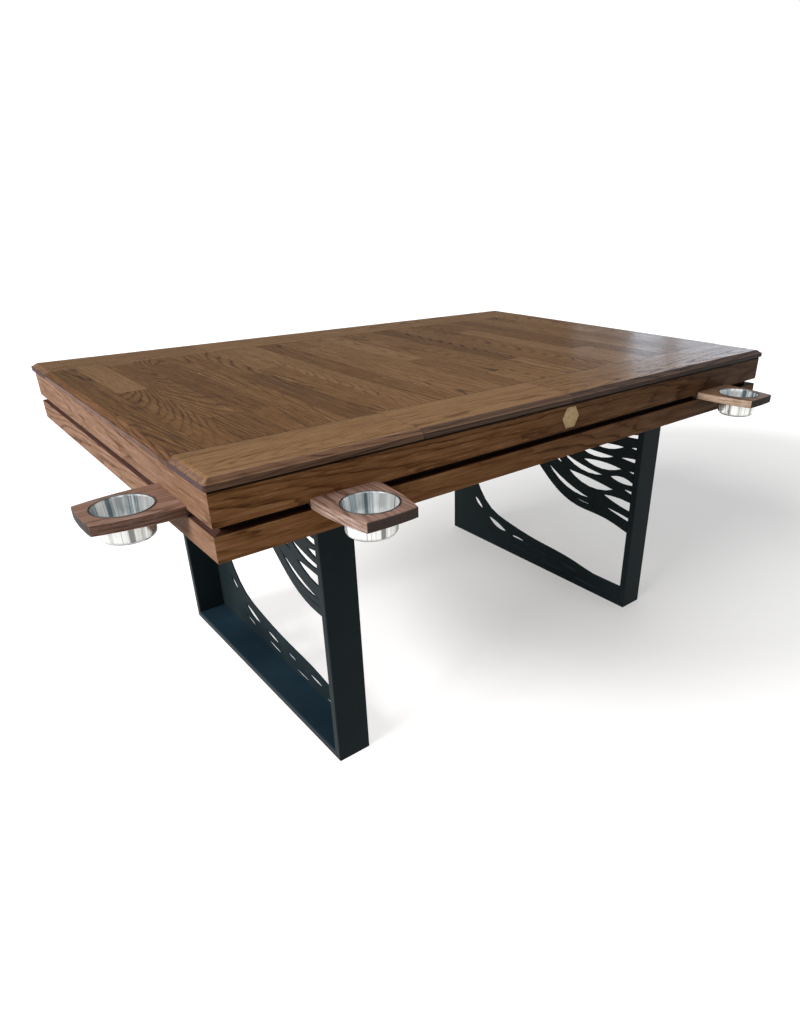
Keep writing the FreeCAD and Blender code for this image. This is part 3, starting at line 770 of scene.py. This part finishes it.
def cup_material(letter, centre, rim_radius, top):
    """Polished stainless steel with painted reflections: soft upright bands, dark streaks and a
    darker rim.

    Its inside is painted lighter on the right and its outside on the left, and its outside's foot
    is painted in shade."""
    material, sheet, shader = new_material("cup_steel_" + letter)
    place = sheet.node("VectorMath", {0: sheet.place(), 1: (*centre, 0.0)},
                       operation="SUBTRACT").outputs[0]
    x, y, z = sheet.split(place)
    radius = sheet.length(x, y)
    rightward = sheet.math("DIVIDE", x, radius)
    outward = sheet.join(rightward, sheet.math("DIVIDE", y, radius), 0.0)
    normal = sheet.normal()
    upright = sheet.step(sheet.size(sheet.split(normal)[2]), 0.25, 0.6, 1.0, 0.0)
    outside = sheet.node("VectorMath", {0: normal, 1: outward}, operation="DOT_PRODUCT")
    outside = sheet.step(outside.outputs["Value"], 0.0, 0.2)

    layer = (0.0, 0.0, dealer.uniform(0, 9))
    around = sheet.node("VectorMath", {0: outward, 1: layer}).outputs[0]
    broad = sheet.noise(around, scale=2.9, detail=0.0)
    fine = sheet.noise(around, scale=9.0, detail=2.0)
    smear = sheet.noise(place, scale=38.0, detail=3.0)
    # Painted reflections: soft bands of light and dark around the cup
    band = sheet.add(sheet.mul(broad, 0.80), sheet.mul(fine, 0.20))
    # Painted light: the inside lighter on the right, the outside lighter on the left
    painted_light = sheet.mul(rightward, sheet.spread(outside, 0.07, -0.05))
    tone = sheet.add(sheet.mul(upright, sheet.add(band, painted_light)),
                     sheet.mul(sheet.sub(1.0, upright), 0.60), sheet.spread(smear, -0.02, 0.02))
    colour = sheet.blend("MIX", outside, sheet.ramp(tone, CUP_INSIDE_REFLECTIONS),
                         sheet.ramp(tone, CUP_OUTSIDE_REFLECTIONS))

    # Painted shade on the foot, a painted dark reflection on the rim and painted dark streaks in
    # the bands
    foot = sheet.mul(sheet.step(z, top - FOOT_FULL, top - FOOT_NONE, 1.0, 0.0), outside)
    rim = sheet.step(radius, rim_radius - RIM_NONE, rim_radius - RIM_FULL, 1.0, 0.15)
    painted_streaks = sheet.spread(sheet.mul(line(sheet, fine, 0.56, 0.014), upright), 1.0, 0.35)
    colour = sheet.dim(colour, sheet.spread(foot, 1.0, 0.22))
    sheet.put(shader.inputs["Base Color"], sheet.dim(colour, sheet.mul(rim, painted_streaks)))
    sheet.put(shader.inputs["Roughness"], sheet.add(
        sheet.spread(outside, 0.16, 0.11), sheet.spread(smear, -0.03, 0.03), sheet.mul(fine, 0.05)))
    shader.inputs["Metallic"].default_value = 0.72
    return material


def lathe(name, profile, centre, material):
    """A turned piece: the profile is a run of (radius, height), from axis to axis."""
    bm = bmesh.new()
    turns = [2 * math.pi * k / TURNED_SEGMENTS for k in range(TURNED_SEGMENTS)]
    rings = []
    for radius, height in profile:
        if radius < ON_AXIS:
            rings.append([bm.verts.new((centre[0], centre[1], height))])
        else:
            rings.append([bm.verts.new((centre[0] + radius * math.cos(turn),
                                        centre[1] + radius * math.sin(turn), height))
                          for turn in turns])
    for first, second in zip(rings, rings[1:]):
        for k in range(TURNED_SEGMENTS):
            n = (k + 1) % TURNED_SEGMENTS
            if len(first) == 1:
                bm.faces.new((first[0], second[k], second[n]))
            elif len(second) == 1:
                bm.faces.new((first[k], second[0], first[n]))
            else:
                bm.faces.new((first[k], second[k], second[n], first[n]))
    bmesh.ops.recalc_face_normals(bm, faces=bm.faces)
    return make_object(name, bm, material)


def arc(centre, radius, start, end):
    """Points of an arc in the profile's plane, angles in degrees from outward, up."""
    angles = [math.radians(start + (end - start) * k / ARC_STEPS) for k in range(ARC_STEPS + 1)]
    return [(centre[0] + radius * math.cos(angle), centre[1] + radius * math.sin(angle))
            for angle in angles]


def cup_profile(seat):
    """Inside from the middle up, over the rolled rim, and down the outside.

    Radius and height from the seat are in millimetres here."""
    corner = (34.6, -44.0)
    inner_radius, outer_radius = 8.0, 9.0
    points = [(0.0, -51.6), (12.0, -51.8), (24.0, -52.0)]
    points += arc(corner, inner_radius, -90, -4)
    points += [(44.3, -22.0), (46.2, -2.5)]
    points += [(46.7, 0.1), (47.3, 0.95), (48.2, 1.35), (49.1, 1.25), (49.8, 0.8), (50.0, 0.35),
               (49.8, 0.02), (49.0, 0.0), (48.05, 0.0), (47.9, -0.5)]
    points += [(45.3, -22.0), (43.6, -42.0)]
    points += arc(corner, outer_radius, -2, -90)
    points += [(24.0, -53.0), (22.0, -52.6), (0.0, -52.4)]
    return [(radius * mm, seat + height * mm) for radius, height in points]


def make_cups():
    for letter in LETTERS:
        low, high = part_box("cup_" + letter)
        centre = ((low.x + high.x) / 2, (low.y + high.y) / 2)
        steel = cup_material(letter, centre, (high.x - low.x) / 2, high.z)
        cup = lathe("cup_%s_bowl" % letter, cup_profile(high.z - CUP_RISE), centre, steel)
        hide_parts("cup_" + letter)
        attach(cup, "cup_" + letter)


# Play mat

MAT_THICKNESS = 2.0 * mm
MAT_SINK, MAT_SWELL = 0.35 * mm, 0.3 * mm
# Waves of the mat and of its weave, in radians per metre
MAT_WAVES_X, MAT_WAVES_Y = 9.0, 7.0
WEAVE = 2600.0


def cloth_material():
    """Tight woven mat in dark green, with a nap."""
    material, sheet, shader = new_material("mat_cloth")
    x, y, _ = sheet.split(sheet.place())
    warp = sheet.math("SINE", sheet.mul(x, WEAVE))
    weft = sheet.math("SINE", sheet.mul(y, WEAVE))
    weave = sheet.mul(warp, weft)
    nap = sheet.noise(sheet.place(), scale=260.0, detail=4.0)
    worn = sheet.noise(sheet.place(), scale=2.2, detail=3.0)
    tone = sheet.add(sheet.mul(weave, 0.12), sheet.mul(nap, 0.6), sheet.mul(worn, 0.4))
    sheet.put(shader.inputs["Base Color"], sheet.ramp(
        tone, ((0.25, (0.012, 0.030, 0.022)), (0.5, (0.022, 0.055, 0.040)),
               (0.8, (0.045, 0.090, 0.066)))))
    sheet.put(shader.inputs["Roughness"], sheet.spread(nap, 0.85, 0.98))
    shader.inputs["Sheen Weight"].default_value = 0.35
    shader.inputs["Sheen Roughness"].default_value = 0.45
    sheet.put(shader.inputs["Normal"], sheet.bump(sheet.add(weave, nap), 0.3 * mm, 0.5))
    return material


def make_mat():
    """One sheet of cloth on the floor board, not quite even."""
    low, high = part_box("play_mat")
    bm = bmesh.new()
    bmesh.ops.create_grid(bm, x_segments=60, y_segments=40, size=0.5)
    for vert in bm.verts:
        x = low.x + (high.x - low.x) * (vert.co.x + 0.5)
        y = low.y + (high.y - low.y) * (vert.co.y + 0.5)
        swell = MAT_SWELL * math.sin(x * MAT_WAVES_X) * math.cos(y * MAT_WAVES_Y)
        vert.co = Vector((x, y, high.z - MAT_SINK + swell))
    mat = make_object("mat_cloth_sheet", bm, cloth_material())
    thick = mat.modifiers.new("thickness", "SOLIDIFY")
    thick.thickness = MAT_THICKNESS
    thick.offset = -1.0
    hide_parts("play_mat")
    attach(mat, "table")


# Leg bolts

WASHER_RADIUS, WASHER_THICKNESS = 10 * mm, 1.6 * mm
HEAD_RADIUS, HEAD_HEIGHT = 7.5 * mm, 5.3 * mm
BOLT_EASE = 0.5 * mm
# Places along a top bar
BOLT_SHARES = (0.10, 0.33, 0.67, 0.90)


def bolt_material():
    """Zinc-plated steel."""
    material, sheet, shader = new_material("bolt_zinc")
    spangle = sheet.noise(sheet.place(), scale=240.0, detail=3.0)
    sheet.put(shader.inputs["Base Color"], sheet.ramp(
        spangle, ((0.3, (0.34, 0.35, 0.36)), (0.7, (0.55, 0.56, 0.56)))))
    sheet.put(shader.inputs["Roughness"], sheet.spread(spangle, 0.28, 0.42))
    shader.inputs["Metallic"].default_value = 1.0
    return material


def make_bolts():
    """Washer and hexagon head under each top bar, screwed up into the outer bearers."""
    zinc = bolt_material()
    for leg in LEGS:
        low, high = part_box("leg_%s_top_bar" % leg)
        x = (low.x + high.x) / 2
        for number, share in enumerate(BOLT_SHARES, 1):
            y = low.y + share * (high.y - low.y)
            bm = bmesh.new()
            cylinder(bm, WASHER_RADIUS, WASHER_THICKNESS, (x, y, low.z - WASHER_THICKNESS / 2),
                     segments=32)
            cylinder(bm, HEAD_RADIUS, HEAD_HEIGHT,
                     (x, y, low.z - WASHER_THICKNESS - HEAD_HEIGHT / 2), segments=6)
            bolt = make_object("leg_%s_bolt_%d" % (leg, number), bm, zinc, smooth=False)
            ease = bolt.modifiers.new("ease", "BEVEL")
            ease.width = BOLT_EASE
            ease.segments = 2
            ease.limit_method = "ANGLE"
            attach(bolt, "table")


# Camera

# Fitted to the photograph's straight edges. The angles are how far it looks to the right of +y,
# down and askew. Lens and sensor are in Blender's millimetres.
CAMERA_PLACE = (-1.1145, -1.4061, 1.1223)
AZIMUTH, DIP, ROLL = (math.radians(angle) for angle in (40.84, 26.43, -0.24))
LENS, SENSOR = 23.71, 36.0
SHIFT_X, SHIFT_Y = -0.0596, 0.0303
VIEW_END = 200.0


def make_camera():
    forward = Vector((math.sin(AZIMUTH) * math.cos(DIP), math.cos(AZIMUTH) * math.cos(DIP),
                      -math.sin(DIP)))
    data = bpy.data.cameras.new("camera")
    data.lens = LENS
    data.sensor_width = SENSOR
    data.shift_x = SHIFT_X
    data.shift_y = SHIFT_Y
    data.clip_end = VIEW_END
    camera = bpy.data.objects.new("camera", data)
    camera.matrix_world = (Matrix.Translation(CAMERA_PLACE)
                           @ forward.to_track_quat("-Z", "Y").to_matrix().to_4x4()
                           @ Matrix.Rotation(-ROLL, 4, "Z"))
    scene.collection.objects.link(camera)
    scene.camera = camera
    scene.view_settings.view_transform = "Standard"


# Light

# Strength of the white world where it lights the table. Where it is seen directly it is 1.
WORLD_LIGHT = 0.30
WINDOW_RISE = math.radians(30)


def seen_directly(sheet):
    """1 for camera, glossy and transmission rays."""
    path = sheet.node("LightPath")
    return sheet.math("MAXIMUM", path.outputs["Is Camera Ray"],
                      sheet.math("MAXIMUM", path.outputs["Is Glossy Ray"],
                                 path.outputs["Is Transmission Ray"]))


def sun(name, strength, angle, toward, colour):
    """A soft sun that shines toward a direction and isn't seen in gloss."""
    light = bpy.data.lights.new(name, "SUN")
    light.energy = strength
    light.angle = math.radians(angle)
    light.color = colour
    obj = bpy.data.objects.new(name, light)
    obj.rotation_euler = Vector(toward).to_track_quat("-Z", "Y").to_euler()
    obj.visible_glossy = False
    scene.collection.objects.link(obj)


def make_light():
    """A white world that lights the table softly, a window on the left and a faint light behind."""
    world = bpy.data.worlds.new("studio")
    scene.world = world
    world.use_nodes = True
    sheet = Sheet(world.node_tree)
    background = world.node_tree.nodes["Background"]
    background.inputs["Color"].default_value = (*WHITE, 1.0)
    sheet.put(background.inputs["Strength"], sheet.spread(seen_directly(sheet), WORLD_LIGHT, 1.0))
    sun("window_light", strength=3.4, angle=30, colour=(1.0, 0.99, 0.97),
        toward=(math.cos(WINDOW_RISE), 0.0, -math.sin(WINDOW_RISE)))
    sun("back_light", strength=0.6, angle=60, colour=WHITE, toward=(-0.55, -0.55, -0.63))


# Studio

FLOOR_HALF = 40.0
FLOOR_COLOUR = (0.55, 0.55, 0.55)
# The floor's own glow is weaker in an oval pool, centred on the right of the table: a painted
# shadow
SHADOW_POOL_PLACE, SHADOW_POOL_SQUEEZE = 1.35, 0.78
SHADOW_POOL_INNER, SHADOW_POOL_OUTER = 0.88, 1.45
SHADOW_POOL_GLOW, FLOOR_GLOW = 0.37, 0.74
# Walls seen in gloss alone: dark flats with bright windows between them, each from its angle in
# degrees, turning from +y towards +x, up to the next
WALLS = ((-180, (0.25, 0.27, 0.28)), (-171, (1.0, 1.0, 1.0)), (-152, (0.22, 0.27, 0.28)),
         (-142, (0.90, 0.95, 0.96)), (-124, (0.20, 0.24, 0.25)), (-116, (1.1, 1.1, 1.08)),
         (-94, (0.30, 0.34, 0.35)), (-86, (0.90, 0.94, 0.95)), (-62, (0.22, 0.25, 0.26)),
         (-40, (0.07, 0.075, 0.08)), (52, (0.19, 0.23, 0.27)), (56, (0.28, 0.34, 0.40)),
         (57.5, (0.90, 1.13, 1.38)), (60, (0.48, 0.60, 0.74)), (61.5, (0.96, 1.20, 1.46)),
         (71, (0.06, 0.07, 0.08)), (90, (1.0, 1.05, 1.1)), (108, (0.16, 0.18, 0.19)),
         (128, (0.40, 0.42, 0.42)), (140, (0.13, 0.14, 0.14)), (160, (0.50, 0.53, 0.55)))
WALL_RADIUS, WALL_HEIGHT, WALL_MIDDLE = 9.0, 7.0, 3.4
# The window that the cover mirrors: between these angles the walls fade above these heights
WINDOW_FROM, WINDOW_TO = math.radians(51.0), math.radians(72.0)
WINDOW_EDGE = math.radians(0.5)
WINDOW_TOP_FROM, WINDOW_TOP_TO = 2.25, 2.75
ABOVE_WINDOW = 0.12


def stage_material(name, surface):
    """A material whose surface is made by a function of its sheet."""
    material, sheet, shader = new_material(name)
    material.node_tree.nodes.remove(shader)
    output = material.node_tree.nodes["Material Output"]
    sheet.put(output.inputs["Surface"], surface(sheet).outputs[0])
    return material


def floor_surface(sheet):
    """Pale grey, made white by a glow that only the camera and gloss see, and weaker in a painted
    shadow pool.
    """
    plain = sheet.node("BsdfDiffuse", {"Color": (*FLOOR_COLOUR, 1.0)})
    x, y, _ = sheet.split(sheet.place())
    # Painted shadow: the glow is weaker in an oval pool right of the table
    away = sheet.length(sheet.mul(sheet.sub(x, SHADOW_POOL_PLACE), SHADOW_POOL_SQUEEZE), y)
    glow_and_painted_shadow = sheet.step(away, SHADOW_POOL_INNER, SHADOW_POOL_OUTER, SHADOW_POOL_GLOW, FLOOR_GLOW)
    glow = sheet.node("Emission", {"Color": (*WHITE, 1.0),
                                   "Strength": sheet.mul(seen_directly(sheet), glow_and_painted_shadow)})
    return sheet.node("AddShader", {0: plain.outputs[0], 1: glow.outputs[0]})


def wall_surface(sheet):
    """The walls' colours by the angle, dimmed above the window that the cover mirrors."""
    x, y, z = sheet.split(sheet.place())
    turn = sheet.math("ARCTAN2", x, y)
    share = sheet.math("MULTIPLY_ADD", turn, 1 / (2 * math.pi), 0.5)
    colour = sheet.ramp(share, [((angle + 180) / 360, value) for angle, value in WALLS], "CONSTANT")
    window = sheet.mul(sheet.step(turn, WINDOW_FROM, WINDOW_FROM + WINDOW_EDGE),
                       sheet.step(turn, WINDOW_TO - WINDOW_EDGE, WINDOW_TO, 1.0, 0.0))
    above = sheet.mul(window, sheet.step(z, WINDOW_TOP_FROM, WINDOW_TOP_TO))
    return sheet.node("Emission", {"Color": colour,
                                   "Strength": sheet.spread(above, 1.0, ABOVE_WINDOW)})


def make_floor():
    bm = bmesh.new()
    bmesh.ops.create_grid(bm, x_segments=1, y_segments=1, size=FLOOR_HALF)
    floor = make_object("studio_floor", bm, stage_material("studio_floor", floor_surface))


def make_walls():
    bm = bmesh.new()
    cylinder(bm, WALL_RADIUS, WALL_HEIGHT, (0, 0, WALL_MIDDLE), segments=96, caps=False)
    walls = make_object("studio_walls", bm, stage_material("studio_walls", wall_surface))
    walls.visible_camera = False
    walls.visible_diffuse = False
    walls.visible_transmission = False
    walls.visible_shadow = False
    walls.visible_volume_scatter = False


dress_cover()
dress_rails()
dress_bearers()
dress_holders()
dress_others()
make_cups()
make_mat()
make_bolts()
make_camera()
make_light()
make_floor()
make_walls()
